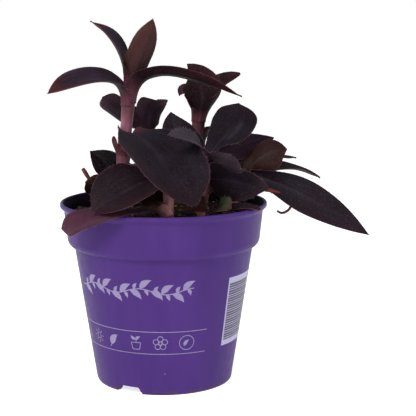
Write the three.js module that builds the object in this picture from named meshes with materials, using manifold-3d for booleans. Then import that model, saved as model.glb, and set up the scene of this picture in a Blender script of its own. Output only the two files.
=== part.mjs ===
// A purple heart plant in its plastic nursery pot. Millimetres, +Z up, -Y towards the viewer.
// The origin is the centre of the pot's flat base pad, on the surface that the pot stands on.
import * as THREE from "three";
import { mergeVertices } from "three/addons/utils/BufferGeometryUtils.js";
import Module from "manifold-3d";

const wasm = await Module();
wasm.setup();

// Driving dimensions of the pot
const POT_HEIGHT = 105;
const LIP_RADIUS = 60;
const LIP_DROP = 3.2;
const LIP_WIDTH = 1.4;
const EDGE_BEVEL = 0.5;
const BAND_TOP_RADIUS = 57.8;
const BAND_FOOT_RADIUS = 56;
const BAND_HEIGHT = 20.5;
const SHOULDER_DROP = 4.8;
const WALL_TOP_RADIUS = 52;
const WALL_FOOT_RADIUS = 40;
const WALL = 1.3;
const FLOOR_TOP = 5.6;
const PAD_RADIUS = 23;
const CHANNEL_HEIGHT = 4.2;
const FOOT_RING_WIDTH = 4;
const FOOT_BEVEL = 0.7;
const POT_SIDES = 40;
const NOTCH_COUNT = 3;
const NOTCH_FIRST_AZIMUTH = 239;
const NOTCH_WIDTH = 18;
const NOTCH_HEIGHT = 4;
const NOTCH_SLOPE = 2.5;
const CUT_DEPTH = 12;
const DRAIN_COUNT = 6;
const DRAIN_RADIUS = 3;
const DRAIN_CIRCLE = 29.5;
const DRAIN_SIDES = 8;

// Driving dimensions of the soil and the plant
const GAP = 0.3;
const SOIL_LEVEL = 97;
const SOIL_BUMP = 1.5;
const SOIL_CROWN = 1.5;
const SOIL_CLEAR = 0.7;
const SOIL_RINGS = 6;
const SOIL_SIDES = 40;
const BLADE = 0.9;
const SINK = 0.3;
const BLADE_STATIONS = [0, 0.1, 0.2, 0.325, 0.475, 0.625, 0.775, 0.9, 1];
const BLADE_STRIPS = 4;
const PATH_STEPS = 40;
const CLASP = 105;
const ROLLED_BY = 0.4;
const RIPPLED_FROM = 0.3;
const TIP_HALF_WIDTH = 0.35;
const STEM_SIDES = 8;
const STEM_SUNK = 1.5;
const STEM_TAPER = 0.4;
const SHEATH_HEIGHT = 9;
const SHEATH_LIP = 1;
const SHEATH_THICKNESS = 0.7;
const TWIG_SIDES = 6;
const TWIG_STATIONS = 16;

// Edges shorter than this are closed up when solids are joined
const SHORTEST_EDGE = 0.02;

// The pot's inner surface under its lip, as radius and height from the top down
const INSIDE = [
  [BAND_TOP_RADIUS - WALL, POT_HEIGHT - LIP_DROP - 1],
  [BAND_FOOT_RADIUS - WALL, POT_HEIGHT - BAND_HEIGHT + 0.5],
  [WALL_TOP_RADIUS - WALL, POT_HEIGHT - BAND_HEIGHT - SHOULDER_DROP + 1.5],
  [WALL_FOOT_RADIUS - WALL, FLOOR_TOP],
  [PAD_RADIUS - 1, FLOOR_TOP],
  [PAD_RADIUS - 2, WALL],
];

const radians = THREE.MathUtils.degToRad;
const smooth = (t) => THREE.MathUtils.smoothstep(t, 0, 1);
const heading = (azimuth) =>
  new THREE.Vector3(Math.cos(radians(azimuth)), Math.sin(radians(azimuth)), 0);

// A geometry as a manifold solid, and a manifold solid as a geometry
function toSolid(geometry) {
  const bare = new THREE.BufferGeometry();
  bare.setAttribute("position", geometry.getAttribute("position").clone());
  if (geometry.index) bare.setIndex(geometry.index.clone());
  const merged = mergeVertices(bare, 1e-4);
  const mesh = new wasm.Mesh({
    numProp: 3,
    vertProperties: new Float32Array(merged.getAttribute("position").array),
    triVerts: new Uint32Array(merged.index.array),
    tolerance: SHORTEST_EDGE,
  });
  return new wasm.Manifold(mesh);
}

function toGeometry(solid) {
  const mesh = solid.getMesh();
  const geometry = new THREE.BufferGeometry();
  geometry.setAttribute("position", new THREE.BufferAttribute(mesh.vertProperties, 3));
  geometry.setIndex(new THREE.BufferAttribute(mesh.triVerts, 1));
  geometry.computeVertexNormals();
  return geometry;
}

// A closed skin over rings of points: each ring is a closed loop, and both ends are capped
function skinOfRings(rings) {
  const count = rings[0].length;
  const positions = rings.flat().flatMap((p) => [p.x, p.y, p.z]);
  const index = [];
  for (let i = 0; i + 1 < rings.length; i++) {
    for (let j = 0; j < count; j++) {
      const a = i * count + j;
      const b = i * count + ((j + 1) % count);
      index.push(a, b, a + count, b, b + count, a + count);
    }
  }
  const last = (rings.length - 1) * count;
  for (let j = 1; j + 1 < count; j++) {
    index.push(0, j + 1, j);
    index.push(last, last + j, last + j + 1);
  }
  const geometry = new THREE.BufferGeometry();
  geometry.setAttribute("position", new THREE.Float32BufferAttribute(positions, 3));
  geometry.setIndex(index);
  return geometry;
}

// A profile of [radius, height] points turned about Z
function turned(profile, sides) {
  const points = profile.map(([r, z]) => new THREE.Vector2(r, z));
  return new THREE.LatheGeometry(points, sides).rotateX(Math.PI / 2);
}

// The pot: a tapered shell with a rim band, a lip, a raised drainage channel and notches in its foot
function makePot() {
  const shoulder = [];
  for (const turn of [0, 45, 90]) {
    const reach = BAND_FOOT_RADIUS - WALL_TOP_RADIUS;
    const r = WALL_TOP_RADIUS + reach * Math.sin(radians(turn));
    const z = POT_HEIGHT - BAND_HEIGHT - SHOULDER_DROP * Math.cos(radians(turn));
    shoulder.push([r, z]);
  }
  const outside = [
    [0, 0],
    [PAD_RADIUS, 0],
    [PAD_RADIUS + 1, CHANNEL_HEIGHT],
    [WALL_FOOT_RADIUS - FOOT_RING_WIDTH - FOOT_BEVEL, CHANNEL_HEIGHT],
    [WALL_FOOT_RADIUS - FOOT_RING_WIDTH, 0],
    [WALL_FOOT_RADIUS - FOOT_BEVEL, 0],
    [WALL_FOOT_RADIUS, 2 * FOOT_BEVEL],
    ...shoulder,
    [BAND_TOP_RADIUS, POT_HEIGHT - LIP_DROP - 1],
    [LIP_RADIUS, POT_HEIGHT - LIP_DROP + 1],
    [LIP_RADIUS, POT_HEIGHT - EDGE_BEVEL],
    [LIP_RADIUS - EDGE_BEVEL, POT_HEIGHT],
  ];
  const inside = [[LIP_RADIUS - LIP_WIDTH, POT_HEIGHT], ...INSIDE, [0, WALL]];
  let pot = toSolid(turned([...outside, ...inside], POT_SIDES));
  for (let i = 0; i < NOTCH_COUNT; i++) {
    const azimuth = radians(NOTCH_FIRST_AZIMUTH + (360 / NOTCH_COUNT) * i);
    pot = pot.subtract(toSolid(notchCutter().rotateZ(azimuth)));
  }
  for (let i = 0; i < DRAIN_COUNT; i++) {
    const azimuth = radians(NOTCH_FIRST_AZIMUTH + (360 / DRAIN_COUNT) * i);
    const hole = new THREE.CylinderGeometry(DRAIN_RADIUS, DRAIN_RADIUS, CUT_DEPTH, DRAIN_SIDES);
    hole.rotateX(Math.PI / 2);
    hole.translate(DRAIN_CIRCLE * Math.cos(azimuth), DRAIN_CIRCLE * Math.sin(azimuth), FLOOR_TOP);
    pot = pot.subtract(toSolid(hole));
  }
  return pot;
}

// A wedge with sloping ends that cuts one notch through the foot ring on the +X side
function notchCutter() {
  const half = NOTCH_WIDTH / 2;
  const outline = new THREE.Shape();
  outline.moveTo(-half, -1);
  outline.lineTo(half, -1);
  outline.lineTo(half - NOTCH_SLOPE, NOTCH_HEIGHT);
  outline.lineTo(-half + NOTCH_SLOPE, NOTCH_HEIGHT);
  outline.closePath();
  const cutter = new THREE.ExtrudeGeometry(outline, { depth: CUT_DEPTH, bevelEnabled: false });
  cutter.rotateX(Math.PI / 2);
  cutter.rotateZ(Math.PI / 2);
  cutter.translate(WALL_FOOT_RADIUS - FOOT_RING_WIDTH - 2, 0, 0);
  return cutter;
}

// The soil's surface: wide and fine bumps from crossed waves, and a slight rise to the middle
function soilHeight(x, y) {
  const along = 0.31 * x + 1.3 * Math.sin(0.17 * y);
  const across = 0.27 * y - 0.8 * Math.sin(0.21 * x);
  const wide = Math.sin(along) * Math.cos(across);
  const fine = Math.sin(0.83 * x + 0.4 * y + 2) * Math.cos(0.71 * y - 0.3 * x);
  const rise = SOIL_CROWN * (1 - Math.hypot(x, y) / BAND_FOOT_RADIUS);
  return SOIL_LEVEL + SOIL_BUMP * (wide + fine / 2) + rise;
}

function ringAt(radius, heightAt) {
  return Array.from({ length: SOIL_SIDES }, (_, j) => {
    const turn = (2 * Math.PI * j) / SOIL_SIDES;
    const [x, y] = [radius * Math.cos(turn), radius * Math.sin(turn)];
    return new THREE.Vector3(x, y, heightAt(x, y));
  });
}

// The soil fills the pot to the band, a small gap inside the pot's inner surface
function makeSoil() {
  const rings = [];
  for (const [r, z] of INSIDE.slice(1).reverse()) {
    rings.push(ringAt(r - SOIL_CLEAR, () => z + GAP));
  }
  const edge = BAND_FOOT_RADIUS - WALL - SOIL_CLEAR;
  for (let i = SOIL_RINGS; i > 0; i--) {
    rings.push(ringAt((edge * i) / SOIL_RINGS, soilHeight));
  }
  return toSolid(skinOfRings(rings));
}

// A shoot's centre line runs straight from its foot to its top
function shootPoint(shoot, s) {
  return new THREE.Vector3(...shoot.foot).lerp(new THREE.Vector3(...shoot.top), s);
}

function shootHeading(shoot) {
  return new THREE.Vector3(...shoot.top).sub(new THREE.Vector3(...shoot.foot)).normalize();
}

function shootLength(shoot) {
  return new THREE.Vector3(...shoot.top).distanceTo(new THREE.Vector3(...shoot.foot));
}

// The stem widens under each leaf, where the leaf's sheath wraps it
function shootRadius(shoot, s) {
  const sheaths = Object.values(shoot.leaves).map((leaf) => {
    const below = (leaf.at - s) * shootLength(shoot);
    if (below < -SHEATH_LIP || below > SHEATH_HEIGHT) return 0;
    return SHEATH_THICKNESS * Math.min(1, 1 - below / SHEATH_HEIGHT);
  });
  return shoot.radius * (1 - STEM_TAPER * s ** 6) + Math.max(...sheaths);
}

// A ring of points round a centre, square to a direction
function ringRound(centre, along, radius, sides) {
  const right = new THREE.Vector3(0, 1, 0).cross(along).normalize();
  const front = along.clone().cross(right);
  return Array.from({ length: sides }, (_, j) => {
    const turn = (2 * Math.PI * j) / sides;
    return centre
      .clone()
      .addScaledVector(right, radius * Math.cos(turn))
      .addScaledVector(front, radius * Math.sin(turn));
  });
}

// A shoot's stem from a share of its length to its top, thickened by extra
function stemSolid(shoot, from, extra) {
  const shares = [from, 1];
  for (const leaf of Object.values(shoot.leaves)) {
    for (const below of [SHEATH_HEIGHT, 0, -0.9 * SHEATH_LIP, -1.3 * SHEATH_LIP]) {
      const s = leaf.at - below / shootLength(shoot);
      if (s > from && s < 1) shares.push(s);
    }
  }
  shares.sort((a, b) => a - b);
  const along = shootHeading(shoot);
  const rings = shares
    .filter((s, i) => i === 0 || s - shares[i - 1] > 1e-4)
    .map((s) => ringRound(shootPoint(shoot, s), along, shootRadius(shoot, s) + extra, STEM_SIDES));
  return toSolid(skinOfRings(rings));
}

// A thin dry twig along a smooth curve through its path
function twigSolid(twig) {
  const curve = new THREE.CatmullRomCurve3(twig.path.map((p) => new THREE.Vector3(...p)));
  const rings = [];
  for (let i = 0; i <= TWIG_STATIONS; i++) {
    const s = i / TWIG_STATIONS;
    rings.push(ringRound(curve.getPointAt(s), curve.getTangentAt(s), twig.radius, TWIG_SIDES));
  }
  return toSolid(skinOfRings(rings));
}

// The line of a leaf's midrib with its upward normal. It leaves the stem along the sheath, bends
// towards the point named over and ends at the tip.
function leafFrames(shoot, leaf) {
  const stem = shootHeading(shoot);
  const axis = shootPoint(shoot, leaf.at);
  const over = new THREE.Vector3(...leaf.over);
  const out = leaf.side === undefined ? over.clone().sub(axis) : heading(leaf.side);
  out.addScaledVector(stem, -out.dot(stem)).normalize();
  const claspRadius = shootRadius(shoot, leaf.at) + BLADE / 2 - SINK;
  const base = axis.clone().addScaledVector(out, claspRadius);
  const sheathEnd = base.clone().addScaledVector(stem, leaf.sheath);
  const midrib = new THREE.CubicBezierCurve3(base, sheathEnd, over, new THREE.Vector3(...leaf.tip));
  const normal = out.clone().negate();
  const frames = [];
  for (let i = 0; i <= PATH_STEPS; i++) {
    const t = i / PATH_STEPS;
    const along = midrib.getTangentAt(t);
    normal.addScaledVector(along, -normal.dot(along)).normalize();
    frames.push({ point: midrib.getPointAt(t), along, normal: normal.clone() });
  }
  return { frames, claspRadius };
}

function halfWidth(leaf, t, base) {
  const half = leaf.width / 2;
  if (t < leaf.widest) return base + (half - base) * smooth(t / leaf.widest);
  const rest = (t - leaf.widest) / (1 - leaf.widest);
  return Math.max(TIP_HALF_WIDTH, half * (1 - rest ** leaf.taper));
}

// One blade: a thin arched strip that clasps the stem, opens out and narrows to its tip
function leafSkin(shoot, leafSpec) {
  const leaf = { ...LEAF_HABIT, ...leafSpec };
  const { frames, claspRadius } = leafFrames(shoot, leaf);
  const rows = BLADE_STATIONS.map((t) => {
    const frame = frames[Math.round(t * PATH_STEPS)];
    const roll = radians(leaf.roll * smooth(t / ROLLED_BY) + leaf.twist * t * t);
    const up = frame.normal.clone().applyAxisAngle(frame.along, roll);
    const side = frame.along.clone().cross(up);
    const clasped = 1 - smooth(t / leaf.open);
    const bent = radians(leaf.cup + (CLASP - leaf.cup) * clasped);
    const arch = Math.abs(bent) < 0.01 ? 0.01 : bent;
    const half = halfWidth(leaf, t, claspRadius * radians(CLASP));
    const radius = half / arch;
    const face = (u, lift) => {
      const turn = arch * u;
      const wave = Math.sin(2 * Math.PI * (leaf.waves * t + 0.2 * u));
      const ripple = leaf.ripple * u * u * wave * smooth(t / RIPPLED_FROM);
      return frame.point
        .clone()
        .addScaledVector(side, (radius - lift) * Math.sin(turn))
        .addScaledVector(up, radius - (radius - lift) * Math.cos(turn) + ripple);
    };
    const inner = [];
    const outer = [];
    for (let j = 0; j <= BLADE_STRIPS; j++) {
      const u = (2 * j) / BLADE_STRIPS - 1;
      inner.push(face(u, BLADE / 2));
      outer.push(face(u, -BLADE / 2));
    }
    return { inner, outer };
  });
  return skinOfBlade(rows);
}

// The closed skin of a blade from its inner and outer rows, split alike on both faces
function skinOfBlade(rows) {
  const count = BLADE_STRIPS + 1;
  const points = rows.flatMap((row) => [...row.inner, ...row.outer]);
  const positions = points.flatMap((p) => [p.x, p.y, p.z]);
  const at = (i, j, face) => i * 2 * count + face * count + j;
  const index = [];
  const quad = (a, b, c, d) => index.push(a, b, c, a, c, d);
  for (let i = 0; i + 1 < rows.length; i++) {
    for (let j = 0; j + 1 < count; j++) {
      quad(at(i, j, 0), at(i, j + 1, 0), at(i + 1, j + 1, 0), at(i + 1, j, 0));
      index.push(at(i, j, 1), at(i + 1, j + 1, 1), at(i, j + 1, 1));
      index.push(at(i, j, 1), at(i + 1, j, 1), at(i + 1, j + 1, 1));
    }
    const edge = count - 1;
    quad(at(i, edge, 0), at(i, edge, 1), at(i + 1, edge, 1), at(i + 1, edge, 0));
    quad(at(i, 0, 1), at(i, 0, 0), at(i + 1, 0, 0), at(i + 1, 0, 1));
  }
  const last = rows.length - 1;
  for (let j = 0; j + 1 < count; j++) {
    quad(at(0, j, 1), at(0, j + 1, 1), at(0, j + 1, 0), at(0, j, 0));
    quad(at(last, j, 0), at(last, j + 1, 0), at(last, j + 1, 1), at(last, j, 1));
  }
  const geometry = new THREE.BufferGeometry();
  geometry.setAttribute("position", new THREE.Float32BufferAttribute(positions, 3));
  geometry.setIndex(index);
  return geometry;
}

// What a leaf has unless its own line says otherwise. Angles are degrees, side is the azimuth at
// which the leaf clasps its stem, from +X towards +Y, and a roll above 0 turns the upper face to
// the right-hand side seen along the leaf.
const LEAF_HABIT = {
  sheath: 14,
  roll: 0,
  twist: 0,
  cup: 32,
  open: 0.3,
  widest: 0.4,
  taper: 2.2,
  ripple: 0.5,
  waves: 1.5,
};

// The shoots, each with its stem's foot and top, its radius, its leaves from the lowest up and, on
// some, a thin dry twig. at is a leaf's place along the stem, from 0 at the foot to 1 at the top.
const SHOOTS = {
  tall_shoot: {
    foot: [-28.5, 4, 80],
    top: [-18, 0, 180],
    radius: 3.6,
    leaves: {
      low_left_leaf: {
        at: 0.24, over: [-40, -2, 114.5], tip: [-45, -6, 116.5],
        width: 17, sheath: 6, taper: 4, roll: 70,
      },
      low_back_leaf: {
        at: 0.36, over: [-34, 4, 127], tip: [-43, 8, 133.5],
        width: 20, sheath: 6, roll: -50, taper: 1.5,
      },
      bud_leaf: {
        at: 0.52, over: [-30, -1, 138], tip: [-28.5, -2, 143],
        width: 12, sheath: 4,
      },
      big_front_leaf: {
        at: 0.62, over: [-4.5, -46, 143.5], tip: [16.6, -60, 110.8],
        width: 46, sheath: 9, side: 290, roll: 9, widest: 0.54, taper: 3.5, open: 0.1,
      },
      left_leaf: {
        at: 0.8, over: [-44, -4, 177], tip: [-65.8, -5, 167.4],
        width: 24, roll: -18, sheath: 22, widest: 0.6, taper: 3.4,
      },
      right_leaf: {
        at: 0.82, over: [-7, -9, 189.5], tip: [44.5, -12, 166],
        width: 17, sheath: 16, cup: 20,
      },
      upper_left_leaf: {
        at: 0.92, over: [-25, 1, 199], tip: [-41, 0, 208.3],
        width: 19, roll: -5, sheath: 14, taper: 1.7,
      },
      upright_leaf: {
        at: 0.93, over: [-8, -1, 196], tip: [-5.5, 2, 209.7],
        width: 16, side: 290, taper: 3,
      },
    },
    twig: { path: [[-27, 3, 104], [-38, 2, 110.5], [-46.7, 0, 124]], radius: 1.2 },
  },
  front_shoot: {
    foot: [0.5, -38, 80],
    top: [4, -30, 130],
    radius: 3.1,
    leaves: {
      rim_leaf: {
        at: 0.42, over: [-34, -68.5, 115.5], tip: [-56, -42, 96.5],
        width: 15, sheath: 6, roll: -5, twist: -75, widest: 0.55, taper: 12, cup: -30,
      },
      olive_low_leaf: {
        at: 0.5, over: [-8, -28, 114], tip: [-18, -30, 112],
        width: 18, sheath: 4, roll: -40,
      },
      low_front_leaf: {
        at: 0.78, over: [-22, -48, 119.5], tip: [-38.7, -52, 105.5],
        width: 38, sheath: 8, roll: -30, taper: 3,
      },
    },
  },
  back_shoot: {
    foot: [-13, 33, 80],
    top: [-9, 35, 153],
    radius: 3.2,
    leaves: {
      back_low_leaf: {
        at: 0.42, over: [-24, 54, 126], tip: [-32, 66, 102],
        width: 26,
      },
      back_left_leaf: {
        at: 0.84, over: [-20, 27, 150], tip: [-36, 19, 163.5],
        width: 15, side: 255, roll: 0, sheath: 6, open: 0.2, widest: 0.6, taper: 6,
      },
      back_right_leaf: {
        at: 0.84, over: [-9.5, 27, 155], tip: [-3.5, 19, 162],
        width: 19, side: 285, sheath: 6, open: 0.2, widest: 0.8, taper: 6,
      },
    },
  },
  right_shoot: {
    foot: [17, 18, 80],
    top: [22, 24, 168],
    radius: 3.6,
    leaves: {
      rear_low_leaf: {
        at: 0.42, over: [24, 50, 130], tip: [26, 68, 103],
        width: 28,
      },
      rear_middle_leaf: {
        at: 0.55, over: [8, 48, 138], tip: [0, 64, 116],
        width: 24,
      },
      green_leaf: {
        at: 0.64, over: [30, 20, 150], tip: [30, 15, 146],
        width: 14, sheath: 6,
      },
      crown_front_leaf: {
        at: 0.78, over: [28, 11, 173], tip: [14, 15, 183.5],
        width: 25, side: 270, sheath: 10, widest: 0.55, taper: 1.3, open: 0.6,
      },
      crown_left_leaf: {
        at: 0.82, over: [12.5, 25, 171], tip: [9.5, 24, 164],
        width: 12, taper: 4, roll: -35,
      },
      crown_right_leaf: {
        at: 0.86, over: [32, 26, 171], tip: [46, 26, 177.3],
        width: 17, roll: 30,
      },
    },
  },
  inner_shoot: {
    foot: [18, -12, 80],
    top: [25, -18, 131.5],
    radius: 3,
    leaves: {
      wide_low_leaf: {
        at: 0.72, over: [38, -38, 122.5], tip: [59, -26, 114.8],
        width: 26, side: 60, sheath: 5, roll: 0, open: 0.12, widest: 0.35,
      },
      middle_leaf: {
        at: 0.6, over: [38, 8, 133.5], tip: [48.5, 12, 125],
        width: 20, sheath: 6, roll: 20,
      },
      inner_left_leaf: {
        at: 0.9, over: [6, -10, 138], tip: [4.5, -4, 157],
        width: 21, sheath: 7, roll: -60, taper: 2.6,
      },
      magenta_leaf: {
        at: 0.93, over: [43, 19, 133.5], tip: [65.7, 18, 139.6],
        width: 20, sheath: 8, roll: 30,
      },
      pale_leaf: {
        at: 0.93, over: [14, -46, 148.5], tip: [2, -45, 148],
        width: 10, sheath: 14, roll: -45, taper: 7,
      },
      folded_leaf: {
        at: 0.97, over: [33, -38, 132.5], tip: [43, -48, 128.5],
        width: 11, sheath: 3, roll: -60, widest: 0.5, taper: 5,
      },
      dark_leaf: {
        at: 0.97, over: [44, 6, 142], tip: [45, 20, 160],
        width: 26, roll: 20, widest: 0.6, taper: 3.4,
      },
    },
  },
  outer_shoot: {
    foot: [32, -4, 84],
    top: [46, -2, 121],
    radius: 3,
    leaves: {
      long_right_leaf: {
        at: 0.93, over: [70, -17, 118], tip: [117, -20, 87.6],
        width: 20, side: 60, roll: -15, sheath: 6, open: 0.5, widest: 0.5, taper: 1.8,
      },
      thin_right_leaf: {
        at: 0.86, over: [72, 16, 128], tip: [93.8, 20, 115],
        width: 16, sheath: 8,
      },
      olive_leaf: {
        at: 0.95, over: [58, -7.5, 136], tip: [71, -5.5, 135],
        width: 21, sheath: 7, roll: -78, widest: 0.66,
      },
    },
    twig: {
      path: [
        [46, -3, 113], [53, -8, 113.4], [59, -13, 113], [64.5, -12, 111.5], [71, -10, 109],
        [73.4, -12, 106.2], [73, -12.5, 103.3], [70.8, -12, 100.4], [67.6, -12, 99.3], [65, -12, 100.5],
      ],
      radius: 1.4,
    },
  },
  low_shoot: {
    foot: [26, -28, 84],
    top: [27, -27, 104],
    radius: 2,
    leaves: {
      rust_leaf: {
        at: 0.85, over: [20, -34, 112], tip: [14, -38, 104],
        width: 14, sheath: 4, roll: -50,
      },
      young_green_leaf: {
        at: 0.84, over: [31, -40, 108], tip: [37, -44, 108],
        width: 14, sheath: 4, roll: 50, taper: 5,
      },
      rim_right_leaf: {
        at: 0.8, over: [42, -34.5, 107], tip: [53.5, -34.5, 105.2],
        width: 12, sheath: 4, roll: 20,
      },
    },
  },
  rear_shoot: {
    foot: [36, 26, 84],
    top: [42, 28, 122],
    radius: 2.6,
    leaves: {
      rear_side_leaf: {
        at: 0.7, over: [60, 46, 126], tip: [68, 58, 100],
        width: 24,
      },
      rear_right_leaf: {
        at: 0.85, over: [54, 42, 132], tip: [62, 58, 114],
        width: 20,
      },
      rear_tip_leaf: {
        at: 0.92, over: [63, 28, 127], tip: [80, 25, 126.8],
        width: 13,
      },
    },
  },
};

const group = new THREE.Group();
group.name = "potted_purple_heart";
const LOOKS = { pot: [0x58418a, 0.4], soil: [0x33241a, 0.95], plant: [0x40303c, 0.6] };

function addNode(name, solid, look) {
  const [color, roughness] = look;
  const material = new THREE.MeshStandardMaterial({ color, roughness });
  const mesh = new THREE.Mesh(toGeometry(solid), material);
  mesh.name = name;
  group.add(mesh);
}

// A whole shoot in one solid: its stem, its leaves and its twig. Only the outer skin is kept, so
// that no scrap is loose and no hollow is sealed in between the leaves' feet.
function shootSolid(shoot) {
  const parts = Object.values(shoot.leaves).map((leaf) => toSolid(leafSkin(shoot, leaf)));
  if (shoot.twig) parts.push(twigSolid(shoot.twig));
  const foot = STEM_SUNK / shootLength(shoot);
  const whole = parts.reduce((sum, part) => sum.add(part), stemSolid(shoot, foot, 0));
  return whole.decompose().sort((a, b) => b.volume() - a.volume())[0];
}

addNode("pot", makePot(), LOOKS.pot);
let soil = makeSoil();
for (const shoot of Object.values(SHOOTS)) {
  soil = soil.subtract(stemSolid(shoot, 0, GAP / Math.cos(Math.PI / STEM_SIDES)));
}
addNode("soil", soil, LOOKS.soil);
for (const [name, shoot] of Object.entries(SHOOTS)) {
  addNode(name, shootSolid(shoot), LOOKS.plant);
}

export default group;
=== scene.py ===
"""A purple heart plant in its plastic nursery pot.

Sizes are millimetres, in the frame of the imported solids: +Z up, -Y towards the viewer, and the
origin at the centre of the pot's base pad. The floor, the lamps and the numbers inside a material
are metres.
"""

import math

import bmesh
import bpy
import numpy as np
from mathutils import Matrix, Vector, noise


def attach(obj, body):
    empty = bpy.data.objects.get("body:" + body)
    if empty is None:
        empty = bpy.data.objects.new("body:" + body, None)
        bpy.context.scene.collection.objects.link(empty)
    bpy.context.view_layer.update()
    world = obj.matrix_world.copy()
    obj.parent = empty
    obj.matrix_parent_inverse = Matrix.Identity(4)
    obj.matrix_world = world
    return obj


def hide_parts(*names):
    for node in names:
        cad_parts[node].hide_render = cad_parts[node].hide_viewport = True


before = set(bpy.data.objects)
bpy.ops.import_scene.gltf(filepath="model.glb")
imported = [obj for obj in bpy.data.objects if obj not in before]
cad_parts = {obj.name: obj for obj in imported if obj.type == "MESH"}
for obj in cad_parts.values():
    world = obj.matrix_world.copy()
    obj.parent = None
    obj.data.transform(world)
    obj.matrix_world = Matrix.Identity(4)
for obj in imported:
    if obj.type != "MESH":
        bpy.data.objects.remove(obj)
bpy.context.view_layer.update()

MM = 0.001
SEED = 11

# The pot. LIP_RINGS is how many rings past its highest one the inside, painted dark as shade, starts.
POT_HEIGHT = 105
LIP_RADIUS = 60
LIP_DROP = 3.2
LIP_WIDTH = 1.4
LIP_RINGS = 5
EDGE_BEVEL = 0.5
BAND_TOP_RADIUS = 57.8
BAND_FOOT_RADIUS = 56
BAND_HEIGHT = 20.5
SHOULDER_DROP = 4.8
WALL_TOP_RADIUS = 52
WALL_FOOT_RADIUS = 40
WALL = 1.3
FLOOR_TOP = 5.6
PAD_RADIUS = 23
CHANNEL_HEIGHT = 4.2
FOOT_RING_WIDTH = 4
FOOT_BEVEL = 0.7
POT_SIDES = 288
NOTCH_COUNT = 3
NOTCH_FIRST_AZIMUTH = 239
NOTCH_WIDTH = 18
NOTCH_HEIGHT = 4
NOTCH_SLOPE = 2.5
NOTCH_STACK = 0.02
DRAIN_COUNT = 6
DRAIN_RADIUS = 3
DRAIN_CIRCLE = 29.5
DRAIN_DEPTH = 8
DRAIN_SIDES = 32

# The print: a vine, two lines with small garden drawings between them, a striped panel and a
# small round mould mark. Places are an azimuth in degrees and a height.
INK_LIFT = 0.06
INK_SUNK = 0.12
LINE_WIDTH = 0.4
VINE_AZIMUTH = 245
VINE_HEIGHT = 62
VINE_REACH = 38
VINE_WAVE = 1.6
VINE_WAVES = 2.5
BAND_HEIGHTS = (25.2, 38.3)
BAND_AZIMUTHS = (176, 301)
DRAWING_HEIGHT = 31.7
PANEL_AZIMUTHS = (317, 347)
PANEL_HEIGHTS = (26, 66.3)
STRIPE_COUNT = 24
STRIPE_PITCH = 1.42
STRIPE_START = 3.5
STRIPE_INSET = 1.2
STRIPE_WIDTHS = (0.8, 1.1, 1.1)
STRIPE_OUT = 1.0012
MARK_PLACE = (270, 13.3)
MARK_PATH = ((-0.35, 0), (0, 0), (0.35, 0))
MARK_WIDTHS = (0.3, 0.6, 0.3)

# The soil
GAP = 0.3
SOIL_LEVEL = 97
SOIL_BUMP = 1.5
SOIL_CROWN = 1.5
SOIL_CLEAR = 0.7
SOIL_RINGS = 90
SOIL_SIDES = 220

# The leaves' shape. A groove runs along the midrib, ribs along the blade and a crimp at the margins.
# TIP_THINNING is where the tip starts to get thinner and how far that takes, as shares of the leaf.
BLADE_THICK = 0.8
EDGE_THICK = 0.28
SINK = 0.3
BLADE_CAD = 0.9
BLADE_STATIONS = 72
BLADE_STRIPS = 24
CURVE_STATIONS = 601
CLASP = 105
ROLLED_BY = 0.4
RIPPLED_FROM = 0.3
TIP_HALF_WIDTH = 0.12
GROOVE_DEPTH = 0.45
GROOVE_WIDTH = 0.9
GROOVE_END = 0.12
RIB_HEIGHT = 0.05
RIB_COUNT = 11
CRIMP = 0.22
CRIMP_PITCHES = (5.5, 5)
RIPPLE_SLANT = 0.2
TIP_THINNED = 0.6
TIP_THINNING = (0.85, 0.15)
FLAT = 0.01

# The hairs on the margins
HAIR_GAP = 0.55
HAIR_LENGTH = (0.7, 1.5)
HAIR_RADIUS = 0.035
HAIR_ROOT = -0.06
HAIR_WAIST = 0.6
HAIR_SPREAD = 0.35
HAIR_BEND = 0.25

# The stems' and twigs' shape. A stem ends in rings at these places past its top, at these shares of
# its radius, where the places are those of a stem as thick as STEM_TIP_RADIUS. TWIG_KNOBS is how high
# a twig's knobs are, as a share of its radius, and how close together.
STEM_SIDES = 32
STEM_STEP = 0.6
STEM_SUNK = 1.5
STEM_TAPER = 0.4
STEM_TIP = ((1.6, 0.9), (2.6, 0.7), (3.1, 0.4), (3.3, 0.12))
STEM_TIP_RADIUS = 3.6
SHEATH_HEIGHT = 9
SHEATH_LIP = 1
SHEATH_THICKNESS = 0.7
TWIG_SIDES = 14
TWIG_STATIONS = 60
TWIG_SPAN_STEPS = 24
TWIG_KNOBS = (0.08, 23)

# The camera, as fitted to the pot in the photograph
CAMERA_PLACE = (0, -687.44, 212.42)
CAMERA_PITCH = 0.161298
CAMERA_YAW = 0.037459
CAMERA_LENS = 103.4
SENSOR = 36
NEAR_CLIP = 0.01

# The floor and the light: a white sweep that glows, under a dimmer room, and two round lamps, each
# with its place, its size and its power
FLOOR_REACH = 60
FLOOR_GLOW = 0.73
SWEEP_GLOW = 1.0
ROOM_GLOW = 0.3
SWEEP_TOP = 0.2
SWEEP_END = 0.44
LAMPS = {
    "key": ((-0.55, -0.8, 0.95), 0.5, 14),
    "fill": ((0.9, -0.5, 0.7), 0.6, 4),
}
LAMP_TARGET = (0, 0, 0.1)

# What a leaf has unless its own line says otherwise. Angles are degrees, side is the azimuth at
# which the leaf clasps its stem, and a roll above 0 turns the upper face to the right-hand side
# seen along the leaf. kind names its colours, and the last entry is how strong the highlight painted
# along its fold is.
LEAF_HABIT = dict(
    sheath=14,
    side=None,
    roll=0,
    twist=0,
    cup=32,
    open=0.3,
    widest=0.4,
    taper=2.2,
    ripple=0.5,
    waves=1.5,
    kind="slate",
    crease=0,
)


def new_leaf(at, over, tip, width, **habit):
    """A leaf's place on its stem, the place it bends over, its tip, its width and its habit."""
    return {**LEAF_HABIT, "at": at, "over": over, "tip": tip, "width": width, **habit}


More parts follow.
